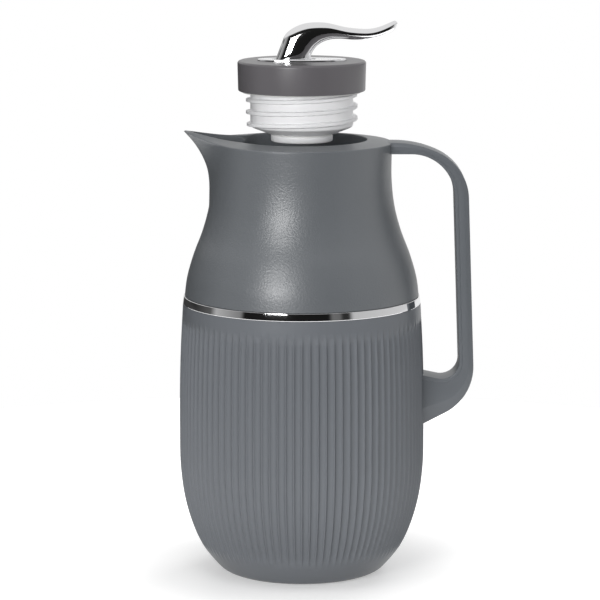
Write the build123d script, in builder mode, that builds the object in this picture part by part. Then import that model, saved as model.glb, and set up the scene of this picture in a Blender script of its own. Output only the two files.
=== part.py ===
"""One-litre vacuum jug: glass-lined casing with a spout and a loop handle, and a lifting lever stopper.

Frame: millimetres, +Z up, the jug's axis on Z, its resting face on z = 0.
The spout points to -X and the handle to +X. The stopper is shown lifted clear of the mouth.
"""
import os
from math import acos, cos, degrees, radians, sin, sqrt

from build123d import *

os.makedirs("parts", exist_ok=True)

# ---------------------------------------- driving dimensions
BODY_R = 70.0            # widest radius of the lower casing
WALL = 2.6               # thickness of both casings
BASE_R = 41.0            # outer radius of the ring the jug stands on
BASE_BORE_R = 37.0       # opening in the bottom of the lower casing
BAND_Z = 155.0           # bottom of the trim band, where the casings meet
BAND_H = 4.4             # height of the trim band
NECK_R = 51.0            # outer radius of the neck
RIM_Z = 247.0            # outer edge of the rim
MOUTH_Z = 248.6          # inner edge of the rim
MOUTH_R = 37.0           # radius of the mouth
SEAT_Z = 232.3           # floor of the mouth, under the collar's flange
TIP_X = 66.8             # spout tip, from the axis
TIP_Z = 253.9            # spout tip, above the base
CAP_R = 36.4             # radius of the stopper's cap
CAP_Z = 276.0            # underside of the cap with the stopper lifted
CAP_H = 17.0             # height of the cap
PLUG_R = 29.1            # root radius of the stopper's thread
CREST_R = 31.6           # crest radius of the stopper's thread
PITCH = 6.8              # pitch of the stopper's thread
LIFT = 6 * PITCH         # travel from seated to lifted, a whole number of turns
RUN = 0.05               # running clearance between pieces that move on each other
LINER_R = 56.0           # outer radius of the glass liner
GLASS = 1.5              # thickness of each glass wall
GRIP_W = 20.0            # width of the handle

CAP_TOP = CAP_Z + CAP_H


def save(piece, name):
    """Label a finished piece and write its STEP file."""
    piece.label = name
    export_step(piece, f"parts/{name}.step")


def inset(points, depth):
    """Move the points of an outline sideways by depth, to the left of its direction."""
    moved = []
    for i, (r, z) in enumerate(points):
        r0, z0 = points[max(i - 1, 0)]
        r1, z1 = points[min(i + 1, len(points) - 1)]
        length = sqrt((r1 - r0) ** 2 + (z1 - z0) ** 2)
        moved.append((r - depth * (z1 - z0) / length, z + depth * (r1 - r0) / length))
    return moved


# ---------------------------------------- outlines that several pieces share
# Lower casing, from the foot round up to the band.
FOOT_ROUND_R = 10.0
FOOT_TURN = radians(47)
foot_end = (BASE_R + FOOT_ROUND_R * sin(FOOT_TURN), FOOT_ROUND_R * (1 - cos(FOOT_TURN)))
LOWER_OUT = [foot_end, (57.9, 15.4), (65.9, 36.0), (69.5, 58.0), (BODY_R, 84.0),
             (69.45, 124.0), (67.8, BAND_Z)]

# Shoulder casing, from the band up to the rim.
SHOULDER_OUT = [(66.3, BAND_Z + BAND_H + 0.4), (65.3, 169.5), (61.7, 182.5), (56.4, 196.5),
                (52.7, 210.5), (NECK_R, 226.0), (51.2, 246.3)]


def lower_wall(points):
    """Draw the lower casing's long curve through points."""
    Spline(*points, tangents=[(cos(FOOT_TURN), sin(FOOT_TURN)), (-0.055, 1)])


# ---------------------------------------- lower casing
LOWER_TOP_IN = 65.3                      # bore at the top, where the shoulder's spigot fits
BOSS_H = 12.0                            # collar that holds the base cover
BOSS_R = 40.0
lower_in = inset(LOWER_OUT, WALL)
lower_in[0] = (lower_in[0][0] + 0.6, WALL + 0.6)
lower_in[-1] = (LOWER_TOP_IN, BAND_Z)

with BuildPart() as lower_casing:
    with BuildSketch(Plane.XZ):
        with BuildLine():
            Line((BASE_BORE_R, 0), (BASE_R, 0))
            JernArc((BASE_R, 0), (1, 0), FOOT_ROUND_R, degrees(FOOT_TURN))
            lower_wall(LOWER_OUT)
            Line(LOWER_OUT[-1], lower_in[-1])
            lower_wall(lower_in)
            Polyline(lower_in[0], (BOSS_R, WALL), (BOSS_R, BOSS_H), (BASE_BORE_R, BOSS_H), (BASE_BORE_R, 0))
        make_face()
    revolve(axis=Axis.Z)

# ---------------------------------------- base cover, pressed up into the casing
PEDESTAL_IN, PEDESTAL_OUT, PEDESTAL_Z = 10.0, 22.0, 7.0
with BuildPart() as base_cover:
    Cylinder(BASE_BORE_R - RUN, BOSS_H, align=(Align.CENTER, Align.CENTER, Align.MIN))
    with BuildSketch(Plane.XY.offset(2.4)):
        Circle(BASE_BORE_R - 2.6)
    extrude(amount=BOSS_H, mode=Mode.SUBTRACT)
    with BuildSketch(Plane.XY.offset(2.4)):
        Circle(PEDESTAL_OUT)
        Circle(PEDESTAL_IN, mode=Mode.SUBTRACT)
    extrude(amount=PEDESTAL_Z - 2.4)
    with BuildSketch(Plane.XY):
        with PolarLocations(25, 2):                       # grips for turning the cover
            SlotOverall(18, 8, rotation=90)
    extrude(amount=1.2, mode=Mode.SUBTRACT)

# ---------------------------------------- glass liner: two walls, one lip, a sealed vacuum
LINER_Z = 15.0                            # bottom of the outer wall
LIP_Z = 208.4                             # top of the glass lip
LIP_IN, LIP_OUT = 22.0, 29.0
DOME_Z, HIP_Z, NECK_Z = 60.0, 150.0, 200.0
VACUUM = 4.5                              # gap between the walls


def liner_line(depth, neck_r, top_z):
    """Draw one side of a glass wall, depth inside the liner's outer surface, from the axis up."""
    r = LINER_R - depth
    Spline((0, LINER_Z + depth), (32, LINER_Z + 8 + depth), (r, DOME_Z),
           tangents=[(1, 0), (0, 1)])
    Line((r, DOME_Z), (r, HIP_Z))
    Spline((r, HIP_Z), (r - 9 + depth / 2, HIP_Z + 25 - depth / 2), (neck_r, NECK_Z),
           tangents=[(0, 1), (0, 1)])
    Line((neck_r, NECK_Z), (neck_r, top_z))


with BuildPart() as liner_envelope:       # the liner filled in, which its supports are shaped to
    with BuildSketch(Plane.XZ):
        with BuildLine():
            liner_line(0, LIP_OUT, LIP_Z - 3.5)
            ThreePointArc((LIP_OUT, LIP_Z - 3.5), ((LIP_IN + LIP_OUT) / 2, LIP_Z), (LIP_IN, LIP_Z - 3.5))
            Polyline((LIP_IN, LIP_Z - 3.5), (0, LIP_Z - 3.5), (0, LINER_Z))
        make_face()
    revolve(axis=Axis.Z)
    with BuildSketch(Plane.XY.offset(10)):                # seal-off tip of the evacuated glass
        Circle(3.0)
    extrude(amount=LINER_Z + 2 - 10)
    fillet(liner_envelope.faces().sort_by(Axis.Z)[0].edges(), 2.0)

with BuildPart() as liner_bore:           # where the drink goes
    with BuildSketch(Plane.XZ):
        with BuildLine():
            liner_line(2 * GLASS + VACUUM, LIP_IN, LIP_Z)
            Polyline((LIP_IN, LIP_Z), (0, LIP_Z), (0, LINER_Z + 2 * GLASS + VACUUM))
        make_face()
    revolve(axis=Axis.Z)

with BuildPart() as liner_vacuum:
    with BuildSketch(Plane.XZ):
        with BuildLine():
            liner_line(GLASS, LIP_OUT - GLASS, LIP_Z - 5)
            Line((LIP_OUT - GLASS, LIP_Z - 5), (LIP_IN + GLASS, LIP_Z - 5))
            liner_line(GLASS + VACUUM, LIP_IN + GLASS, LIP_Z - 5)
            Line((0, LINER_Z + GLASS), (0, LINER_Z + GLASS + VACUUM))
        make_face()
    revolve(axis=Axis.Z)

with BuildPart() as glass_liner:
    add(liner_envelope.part)
    add(liner_bore.part, mode=Mode.SUBTRACT)
    add(liner_vacuum.part, mode=Mode.SUBTRACT)

SPACER_ARC = 10                           # degrees of arc that each pad covers
with BuildPart() as liner_spacers:        # three pads that hold the two glass walls apart
    with BuildSketch(Plane.XZ):
        with Locations((LINER_R - GLASS - VACUUM / 2, DOME_Z + 10)):
            Rectangle(VACUUM, 8)
    revolve(axis=Axis.Z, revolution_arc=SPACER_ARC)
    pad = liner_spacers.part
    for turn in (120, 240):
        add(pad.rotate(Axis.Z, turn))

with BuildPart() as liner_cushion:        # rubber cup between the base cover and the glass
    with BuildSketch(Plane.XY.offset(PEDESTAL_Z)):
        Circle(PEDESTAL_OUT)
        Circle(PEDESTAL_IN)
    extrude(amount=12)
    with BuildSketch(Plane.XY.offset(PEDESTAL_Z)):
        Circle(PEDESTAL_IN - 1)
    extrude(amount=12, mode=Mode.SUBTRACT)
    add(liner_envelope.part, mode=Mode.SUBTRACT)

# ---------------------------------------- neck: gasket on the glass, threaded collar above
GASKET_TOP = 211.0
with BuildPart() as neck_gasket:
    with BuildSketch(Plane.XZ):
        with BuildLine():
            Polyline((20.8, 205.5), (31.0, 205.5), (31.0, GASKET_TOP), (20.8, GASKET_TOP), close=True)
        make_face()
    revolve(axis=Axis.Z)
    add(liner_envelope.part, mode=Mode.SUBTRACT)
    with BuildSketch(Plane.XY.offset(205)):
        Circle(20.8)
    extrude(amount=7, mode=Mode.SUBTRACT)

COLLAR_BORE = CREST_R + 0.5
COLLAR_OUT = 34.4
FLANGE_TOP = CAP_Z - LIFT - 0.8 - RUN     # just under the seated stopper's seal
THREAD_Z = 257.2                          # height of the male thread where it passes -X
THREAD_START = 168                        # azimuth where its lowest turn begins, in degrees
THREAD_TURNS = 2.4
LUG_ARC = 40                              # degrees of arc that each thread lug covers


def thread(base_r, tip_r, base_w, tip_w, start_z, start_az, turns):
    """A right-hand ridge on a cylinder of radius base_r, its tip at tip_r."""
    out = 1 if tip_r > base_r else -1
    with BuildPart() as ridge:
        with BuildLine() as path:
            Helix(pitch=PITCH, height=PITCH * turns, radius=base_r)
        with BuildSketch(Plane(origin=(base_r, 0, 0), x_dir=(1, 0, 0), z_dir=(0, 1, 0))):
            with BuildLine():
                Polyline((-0.4 * out, -base_w / 2), (tip_r - base_r, -tip_w / 2),
                         (tip_r - base_r, tip_w / 2), (-0.4 * out, base_w / 2), close=True)
            make_face()
        sweep(path=path.line, is_frenet=True)
    return ridge.part.moved(Location((0, 0, start_z), (0, 0, start_az)))


with BuildPart() as neck_collar:
    with BuildSketch(Plane.XZ):
        with BuildLine():
            Polyline((COLLAR_BORE, 213.0), (27.5, 213.0), (27.5, GASKET_TOP), (COLLAR_OUT, GASKET_TOP),
                     (COLLAR_OUT, SEAT_Z), (MOUTH_R - 0.1, SEAT_Z), (MOUTH_R - 0.1, FLANGE_TOP),
                     (COLLAR_BORE, FLANGE_TOP), close=True)
        make_face()
    revolve(axis=Axis.Z)
    for k in range(3):                    # lugs stand in the groove between two turns of the seated thread
        azimuth = 180 + 120 * k
        groove_z = THREAD_Z - LIFT + PITCH / 2 + PITCH * 120 * k / 360
        start_z = groove_z - PITCH * LUG_ARC / 720
        add(thread(COLLAR_BORE, PLUG_R + 0.5, 2.8, 1.6, start_z, azimuth - LUG_ARC / 2, LUG_ARC / 360))

# ---------------------------------------- shoulder casing with its spout
SPIGOT_R = LOWER_TOP_IN - RUN
SPIGOT_Z = 146.0
MOUTH_OUT = MOUTH_R + 2.4                 # outside of the wall round the mouth
shoulder_in = inset(SHOULDER_OUT, WALL)
shoulder_in[0] = (62.9, SHOULDER_OUT[0][1])
shoulder_in[-1] = (shoulder_in[-1][0], 244.4)


def beak(tip_x, z, round_r):
    """One level slice of the spout: two tangents from the neck that meet at a rounded tip."""
    touch = acos(NECK_R / tip_x)
    with BuildSketch(Plane.XY.offset(z)) as slice_:
        with BuildLine():
            Polyline((-20, -18), (-NECK_R * cos(touch), -NECK_R * sin(touch)), (-tip_x, 0),
                     (-NECK_R * cos(touch), NECK_R * sin(touch)), (-20, 18), close=True)
        make_face()
        fillet(slice_.vertices().sort_by(Axis.X)[0], round_r)
    return slice_.sketch


with BuildPart() as above_rim:            # everything over the rising edge of the spout
    with BuildSketch(Plane.XZ):
        with BuildLine():
            rise = Spline((-34, RIM_Z + 0.6), (-52, 249.6), (-TIP_X - 4, TIP_Z + 1.4),
                          tangents=[(-1, 0), (-1, 0.5)])
            Polyline(rise @ 1, (-80, 300), (0, 300), (0, RIM_Z), (-34, RIM_Z), (-34, RIM_Z + 0.6))
        make_face()
    extrude(amount=60, both=True)

with BuildPart() as beak_solid:
    for tip_x, z in ((52.4, 222), (54.6, 232), (59.6, 242), (66.4, 251), (68.4, 256)):
        add(beak(tip_x, z, 2.5))
    loft()
    with BuildSketch(Plane.XY.offset(200)):               # keep it out of the mouth
        Circle(MOUTH_R + 1)
    extrude(amount=60, mode=Mode.SUBTRACT)
    add(above_rim.part, mode=Mode.SUBTRACT)

with BuildPart() as spout_channel:
    with BuildSketch(Plane.XY.offset(230)):
        with BuildLine():
            Polyline((-28, -21), (-60.5, -3.2), (-63, 0), (-60.5, 3.2), (-28, 21), close=True)
        make_face()
    extrude(amount=30)
    with BuildSketch(Plane.XZ):
        with BuildLine():
            Polyline((-20, 237), (-34, 237.5), (-64, 251.8), (-64, 262), (-20, 262), close=True)
        make_face()
    extrude(amount=30, both=True, mode=Mode.INTERSECT)

with BuildPart() as shoulder_casing:
    with BuildSketch(Plane.XZ):
        with BuildLine():
            Polyline((SPIGOT_R - 2.4, SPIGOT_Z), (SPIGOT_R, SPIGOT_Z), (SPIGOT_R, SHOULDER_OUT[0][1]),
                     SHOULDER_OUT[0])
            Spline(*SHOULDER_OUT, tangents=[(-0.02, 1), (0.02, 1)])
            Polyline(SHOULDER_OUT[-1], (50.5, RIM_Z), (MOUTH_R + 1, MOUTH_Z), (MOUTH_R, MOUTH_Z - 0.8),
                     (MOUTH_R, SEAT_Z), (COLLAR_OUT + 0.05, SEAT_Z), (COLLAR_OUT + 0.05, SEAT_Z - WALL),
                     (MOUTH_OUT, SEAT_Z - WALL), (MOUTH_OUT, 245.4), shoulder_in[-1])
            Spline(*shoulder_in, tangents=[(-0.02, 1), (0.02, 1)])
            Line(shoulder_in[0], (SPIGOT_R - 2.4, SPIGOT_Z))
        make_face()
    revolve(axis=Axis.Z)
    add(beak_solid.part)
    add(spout_channel.part, mode=Mode.SUBTRACT)

# ---------------------------------------- trim band
with BuildPart() as trim_band:
    with BuildSketch(Plane.XZ):
        with BuildLine():
            Polyline((LOWER_TOP_IN, BAND_Z), (68.1, BAND_Z), (68.3, BAND_Z + 0.3),
                     (67.3, BAND_Z + BAND_H - 0.3), (67.0, BAND_Z + BAND_H),
                     (LOWER_TOP_IN, BAND_Z + BAND_H), close=True)
        make_face()
    revolve(axis=Axis.Z)

# ---------------------------------------- handle: an open shell and the strip that closes it
GRIP_IN_Z = 240.8                        # underside of the handle where it leaves the neck
GRIP_OUT_Z = 247.2                       # its top there
TOP_IN_X, TOP_OUT_X = 62.0, 52.0         # where its underside and its top begin to curve
TOP_IN_R = 24.4
FOOT_IN_R, FOOT_OUT_R = 10.0, 30.0
STRIP = 2.2                              # thickness of the closing strip
BACK_ROUND = 2.4                         # round along both back edges
HOLLOW = 3.6                             # depth of the space behind the strip
HOLLOW_LOW, HOLLOW_HIGH = 124.0, 214.0
SCREW_YZ = ((0, 94), (0, 105))           # screws in the foot
SCREW_R, HEAD_R = 1.5, 3.0
SCREW_L = 14.0
HEAD_X = 67.55                           # where the screw heads bear


def inner_outline(depth):
    """Draw the finger side of the handle, depth inside it, from the neck to the foot."""
    start = (40, GRIP_IN_Z + depth)
    top = Line(start, (TOP_IN_X, GRIP_IN_Z + depth))
    bend = JernArc(top @ 1, (1, 0), TOP_IN_R + depth, -88)
    grip = Line(bend @ 1, bend @ 1 + (bend % 1) * 95)
    foot = JernArc(grip @ 1, grip % 1, FOOT_IN_R + depth, -104)
    end = Line(foot @ 1, foot @ 1 + (foot % 1) * 30)
    return start, end @ 1


def outer_outline():
    """Draw the back of the handle from the neck to the foot."""
    start = (40, GRIP_OUT_Z)
    top = Line(start, (TOP_OUT_X, GRIP_OUT_Z))
    fall = JernArc(top @ 1, (1, 0), 60, -25)
    bend = JernArc(fall @ 1, fall % 1, 30, -63)
    grip = Line(bend @ 1, bend @ 1 + (bend % 1) * 96)
    foot = JernArc(grip @ 1, grip % 1, FOOT_OUT_R, -64.6)
    end = Line(foot @ 1, foot @ 1 + (foot % 1) * 36)
    return start, end @ 1


def is_back(p):
    """True on the outer outline, where the handle's back edges are rounded."""
    if p.X < 55 and p.Z < 200:
        return False
    return p.Z > GRIP_OUT_Z - 2 or p.X > 92 or p.X + p.Z > 318 or p.Z < 107


with BuildPart() as body_envelope:       # both casings filled in, which the handle's ends are shaped to
    with BuildSketch(Plane.XZ):
        with BuildLine():
            Polyline((0, 0), (BASE_R, 0), foot_end)
            lower_wall(LOWER_OUT)
            Line(LOWER_OUT[-1], SHOULDER_OUT[0])
            Spline(*SHOULDER_OUT, tangents=[(-0.02, 1), (0.02, 1)])
            Polyline(SHOULDER_OUT[-1], (50.5, RIM_Z), (50.5, 260), (0, 260), (0, 0))
        make_face()
    revolve(axis=Axis.Z)

with BuildPart() as handle_blank:
    with BuildSketch(Plane.XZ):
        with BuildLine():
            in_start, in_end = inner_outline(0)
            out_start, out_end = outer_outline()
            Line(in_start, out_start)
            Line(in_end, out_end)
        make_face()
    extrude(amount=GRIP_W / 2, both=True)
    sides = [e for e in handle_blank.edges() if abs(abs(e.center().Y) - GRIP_W / 2) < 0.01]
    fillet([e for e in sides if is_back(e @ 0.5)], BACK_ROUND)

with BuildPart() as handle_cover:         # the finger side, over the handle's whole length
    with BuildSketch(Plane.XZ):
        with BuildLine():
            near_start, near_end = inner_outline(0)
            far_start, far_end = inner_outline(STRIP)
            Line(near_start, far_start)
            Line(near_end, far_end)
        make_face()
    extrude(amount=GRIP_W / 2, both=True)
    add(body_envelope.part, mode=Mode.SUBTRACT)

with BuildPart() as grip_hollow:          # the space left inside the grip
    with BuildSketch(Plane.XZ):
        with BuildLine():
            near_start, near_end = inner_outline(STRIP)
            far_start, far_end = inner_outline(STRIP + HOLLOW)
            Line(near_start, far_start)
            Line(near_end, far_end)
        make_face()
    extrude(amount=GRIP_W / 2 - BACK_ROUND, both=True)
    with BuildSketch(Plane.XY.offset(HOLLOW_LOW)):
        with Locations((TIP_X, 0)):
            Rectangle(100, GRIP_W)
    extrude(amount=HOLLOW_HIGH - HOLLOW_LOW, mode=Mode.INTERSECT)

with BuildPart() as tongue:               # hooks through the neck wall
    with BuildSketch(Plane.YZ.offset(NECK_R - WALL - 1.5)):
        with Locations((0, GRIP_IN_Z + STRIP + 1.4)):
            Rectangle(12, 2.2)
    extrude(amount=6)

with BuildPart() as handle_shell:
    add(handle_blank.part)
    with BuildSketch(Plane.XZ):
        with BuildLine():
            near_start, near_end = inner_outline(-1)
            far_start, far_end = inner_outline(STRIP)
            Line(near_start, far_start)
            Line(near_end, far_end)
        make_face()
    extrude(amount=GRIP_W, both=True, mode=Mode.SUBTRACT)
    add(grip_hollow.part, mode=Mode.SUBTRACT)
    add(body_envelope.part, mode=Mode.SUBTRACT)
    add(tongue.part)
    with BuildSketch(Plane.YZ.offset(HEAD_X)):
        with Locations(*SCREW_YZ):
            Circle(SCREW_R)
    extrude(amount=SCREW_L, mode=Mode.SUBTRACT)

with BuildPart() as handle_screws:        # driven from inside the lower casing into the foot
    with BuildSketch(Plane.YZ.offset(HEAD_X)):
        with Locations(*SCREW_YZ):
            Circle(SCREW_R)
    extrude(amount=SCREW_L)
    with BuildSketch(Plane.YZ.offset(HEAD_X - 2)):
        with Locations(*SCREW_YZ):
            Circle(HEAD_R)
    extrude(amount=2)

with BuildPart(mode=Mode.PRIVATE) as screw_room:
    with BuildSketch(Plane.YZ.offset(HEAD_X - 8)):
        with Locations(*SCREW_YZ):
            Circle(HEAD_R + 0.2)
    extrude(amount=8)
    with BuildSketch(Plane.YZ.offset(HEAD_X)):
        with Locations(*SCREW_YZ):
            Circle(SCREW_R + 0.1)
    extrude(amount=5)

with lower_casing:
    add(screw_room.part, mode=Mode.SUBTRACT)

with shoulder_casing:
    add(tongue.part, mode=Mode.SUBTRACT)

# ---------------------------------------- stopper seal, which rides up and down without turning
SEAL_IN, SEAL_OUT = CREST_R + 0.45, 33.8
SEAL_PROUD = 0.8                          # how far it stands below the cap
SEAL_SUNK = 1.0
with BuildPart() as stopper_seal:
    with BuildSketch(Plane.XY.offset(CAP_Z - SEAL_PROUD)):
        Circle(SEAL_OUT)
        Circle(SEAL_IN, mode=Mode.SUBTRACT)
    extrude(amount=SEAL_PROUD + SEAL_SUNK)
    fillet(stopper_seal.faces().sort_by(Axis.Z)[0].edges(), 0.3)

# ---------------------------------------- threaded plug and the plate that closes it
CAP_BORE = CAP_R - 2.0
PLATE_T = 2.6                             # thickness of the plate
PLUG_END_Z = 252.0                        # underside of the plug, the valve's seat
PLUG_END_R = 18.5
PLUG_CONE_Z = 256.0
PLUG_BORE = PLUG_R - 2.2
PORT_R = 14.0                             # opening that the valve closes
PLATE_TOP = CAP_Z + PLATE_T
STEM_R = 2.0
OUTLET_Z = 271.5
BOSS_AT = 23.5                            # cap screws, from the axis
BOSS_TURNS = (60, 180, 300)
with BuildPart() as threaded_plug:
    with BuildSketch(Plane.XZ):
        with BuildLine():
            Line((PLUG_R, CAP_Z), (PLUG_R, PLUG_CONE_Z))
            ThreePointArc((PLUG_R, PLUG_CONE_Z), (24.6, 254.0), (PLUG_END_R, PLUG_END_Z))
            Polyline((PLUG_END_R, PLUG_END_Z), (PORT_R, PLUG_END_Z), (PORT_R, PLUG_END_Z + 2.2),
                     (22.5, 255.6), (PLUG_BORE, 259.5), (PLUG_BORE, CAP_Z), (PLUG_R, CAP_Z))
        make_face()
    revolve(axis=Axis.Z)
    start_z = THREAD_Z + PITCH * (THREAD_START - 180) / 360
    add(thread(PLUG_R, CREST_R, 3.0, 1.6, start_z, THREAD_START, THREAD_TURNS))
    with BuildSketch(Plane(origin=(0, 0, OUTLET_Z), z_dir=(-0.79, 0.61, 0))):
        SlotOverall(20, 4.0)              # outlet for the drink, above the collar's seat
    extrude(amount=CREST_R + 4, mode=Mode.SUBTRACT)

with BuildPart() as plug_plate:           # welded on the plug, screwed to the cap, guides the stem
    with BuildSketch(Plane.XY.offset(CAP_Z)):
        Circle(CAP_BORE - RUN)
        Circle(STEM_R + RUN, mode=Mode.SUBTRACT)
    extrude(amount=PLATE_T)
    with BuildSketch(Plane.XY.offset(CAP_Z)):             # groove for the stopper's seal
        Circle(SEAL_OUT + RUN)
        Circle(SEAL_IN - RUN, mode=Mode.SUBTRACT)
    extrude(amount=SEAL_SUNK + RUN, mode=Mode.SUBTRACT)
    with BuildSketch(Plane.XY.offset(PLATE_TOP - 1.4)):   # groove for the stem's seal
        Circle(3.6)
    extrude(amount=1.4, mode=Mode.SUBTRACT)
    with BuildSketch(Plane.XY.offset(CAP_Z)):
        for turn in BOSS_TURNS:
            with Locations((BOSS_AT * cos(radians(turn)), BOSS_AT * sin(radians(turn)))):
                Circle(1.6)
    extrude(amount=PLATE_T, mode=Mode.SUBTRACT)

with BuildPart() as stem_seal:
    with BuildSketch(Plane.XY.offset(PLATE_TOP - 1.4)):
        Circle(3.6)
        Circle(STEM_R + RUN, mode=Mode.SUBTRACT)
    extrude(amount=1.4)

# ---------------------------------------- cap, with the ears that hold the lever's pin
PIN_X, PIN_Z, PIN_R = -12.0, CAP_TOP - 4.5, 1.25
PIN_L = 22.0
SLOT_X0, SLOT_X1 = -16.9, 8.2             # opening that the lever swings in
SLOT_W = 11.8
PLATE_X, PLATE_Y = 25.1, 10.0             # half lengths of the chrome plate
PLATE_UP, PLATE_DOWN = 1.0, 1.0           # how far it stands above the cap, and is let into it
CEILING = CAP_TOP - 2.4


def lever_slot(z):
    """The opening for the lever, drawn at height z."""
    with BuildSketch(Plane.XY.offset(z)) as opening:
        with Locations(((SLOT_X0 + SLOT_X1) / 2, 0)):
            SlotOverall(SLOT_X1 - SLOT_X0, SLOT_W)
    return opening.sketch


with BuildPart() as stopper_cap:
    with BuildSketch(Plane.XZ):
        with BuildLine():
            Polyline((0, CAP_TOP), (CAP_R, CAP_TOP), (CAP_R - 0.4, CAP_Z), (CAP_BORE, CAP_Z),
                     (CAP_BORE, CEILING), (0, CEILING), close=True)
        make_face()
    revolve(axis=Axis.Z)
    rim_edges = stopper_cap.edges().filter_by(GeomType.CIRCLE)
    fillet(rim_edges.sort_by(Axis.Z)[-1], 1.4)
    fillet(stopper_cap.faces().sort_by(Axis.Z)[0].outer_wire().edges(), 0.8)
    with BuildSketch(Plane.XY.offset(PLATE_TOP)):
        for turn in BOSS_TURNS:
            with Locations((BOSS_AT * cos(radians(turn)), BOSS_AT * sin(radians(turn)))):
                Circle(3.0)
                Circle(1.2, mode=Mode.SUBTRACT)
    extrude(amount=CEILING - PLATE_TOP)
    with BuildSketch(Plane.XY.offset(PIN_Z - 3.5)):
        with Locations((PIN_X, SLOT_W / 2 + 1.9), (PIN_X, -SLOT_W / 2 - 1.9)):
            Rectangle(7, 3.4)
    extrude(until=Until.NEXT)
    with BuildSketch(Plane.XZ.offset(-PIN_L / 2)):
        with Locations((PIN_X, PIN_Z)):
            Circle(PIN_R)
    extrude(amount=PIN_L, mode=Mode.SUBTRACT)
    with BuildSketch(Plane.XY.offset(CAP_TOP - PLATE_DOWN)):
        Ellipse(PLATE_X, PLATE_Y)
    extrude(amount=PLATE_DOWN, mode=Mode.SUBTRACT)
    add(lever_slot(CEILING - 1))
    extrude(amount=6, mode=Mode.SUBTRACT)

with BuildPart() as escutcheon:
    with BuildSketch(Plane.XY.offset(CAP_TOP - PLATE_DOWN)):
        Ellipse(PLATE_X, PLATE_Y)
    extrude(amount=PLATE_DOWN + PLATE_UP)
    fillet(escutcheon.faces().sort_by(Axis.Z)[-1].edges(), 0.6)
    add(lever_slot(CAP_TOP - PLATE_DOWN - 1))
    extrude(amount=6, mode=Mode.SUBTRACT)

with BuildPart() as cap_screws:
    with BuildSketch(Plane.XY.offset(CAP_Z - 1.6)):
        for turn in BOSS_TURNS:
            with Locations((BOSS_AT * cos(radians(turn)), BOSS_AT * sin(radians(turn)))):
                Circle(2.0)
    extrude(amount=1.6)
    with BuildSketch(Plane.XY.offset(CAP_Z)):
        for turn in BOSS_TURNS:
            with Locations((BOSS_AT * cos(radians(turn)), BOSS_AT * sin(radians(turn)))):
                Circle(1.2)
    extrude(amount=PLATE_T + 8)

with BuildPart() as lever_pin:
    with BuildSketch(Plane.XZ.offset(-PIN_L / 2)):
        with Locations((PIN_X, PIN_Z)):
            Circle(PIN_R)
    extrude(amount=PIN_L)

# ---------------------------------------- thumb lever
# Its arm, root to tip: for each oval section its upper and its lower end (x, z), and its width.
ARM = [((-16.3, 290.0), (5.8, 290.0), 11.0), ((-14.1, 295.4), (5.2, 295.6), 10.8),
       ((-11.5, 302.2), (7.6, 300.2), 10.5), ((-8.6, 308.4), (11.2, 303.1), 10.3),
       ((0.0, 313.4), (16.0, 304.8), 10.2), ((12.0, 314.4), (22.0, 305.2), 10.1),
       ((25.8, 311.6), (30.0, 304.6), 10.5), ((37.5, 310.8), (38.8, 304.9), 10.8),
       ((43.7, 312.0), (44.5, 306.2), 10.3), ((48.5, 313.9), (49.6, 308.5), 9.4),
       ((51.2, 315.1), (52.7, 311.0), 7.2), ((52.6, 315.5), (54.0, 313.2), 4.6)]
NOSE_Z = CAP_TOP - 7.0                    # underside of the lever, which presses the stem
NOSE_R = 3.0
WEB_W = 7.0                               # thickness of the part of the lever inside the cap


def lever_section(upper, lower, width):
    """An oval between two points of the arm's outline, width across."""
    (x0, z0), (x1, z1) = upper, lower
    thick = sqrt((x1 - x0) ** 2 + (z1 - z0) ** 2)
    down_x, down_z = (x1 - x0) / thick, (z1 - z0) / thick
    plane = Plane(origin=((x0 + x1) / 2, 0, (z0 + z1) / 2), x_dir=(down_x, 0, down_z),
                  z_dir=(-down_z, 0, down_x))
    with BuildSketch(plane) as oval:
        RectangleRounded(thick, width, 0.44 * min(thick, width))
    return oval.sketch


with BuildPart() as thumb_lever:
    for station in ARM:
        add(lever_section(*station))
    loft()
    with BuildSketch(Plane.XZ.offset(-WEB_W / 2)):        # web that turns on the pin and presses the stem
        with Locations((PIN_X, PIN_Z)):
            Circle(PIN_Z - NOSE_Z)
        with Locations((0, NOSE_Z + NOSE_R)):
            Circle(NOSE_R)
        with Locations((-6, PIN_Z + 2)):
            Rectangle(16, 2)
        make_hull()
    extrude(amount=WEB_W)
    with BuildSketch(Plane.XZ.offset(-PIN_L / 2)):
        with Locations((PIN_X, PIN_Z)):
            Circle(PIN_R + RUN)
    extrude(amount=PIN_L, mode=Mode.SUBTRACT)

# ---------------------------------------- valve: stem, button, disc and its gasket
DISC_R, DISC_Z0, DISC_Z1 = 17.5, 247.5, 251.0
BUTTON_Z = NOSE_Z - RUN                   # top of the button under the lever's nose
BUTTON_H = 2.0
with BuildPart() as valve_stem:
    with BuildSketch(Plane.XY.offset(DISC_Z0 + 1.0)):
        Circle(STEM_R)
    extrude(amount=BUTTON_Z - BUTTON_H - DISC_Z0 - 1.0 + 1.2)

with BuildPart() as stem_button:
    with BuildSketch(Plane.XY.offset(BUTTON_Z - BUTTON_H)):
        Circle(5.0)
    extrude(amount=BUTTON_H)
    with BuildSketch(Plane.XY.offset(BUTTON_Z - BUTTON_H)):
        Circle(STEM_R)
    extrude(amount=1.2, mode=Mode.SUBTRACT)

with BuildPart() as valve_disc:
    with BuildSketch(Plane.XZ):
        with BuildLine():
            Polyline((0, DISC_Z0), (DISC_R - 0.4, DISC_Z0), (DISC_R, DISC_Z0 + 0.4), (DISC_R, DISC_Z1),
                     (STEM_R, DISC_Z1), (STEM_R, DISC_Z0 + 1.0), (0, DISC_Z0 + 1.0), close=True)
        make_face()
    revolve(axis=Axis.Z)

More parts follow.
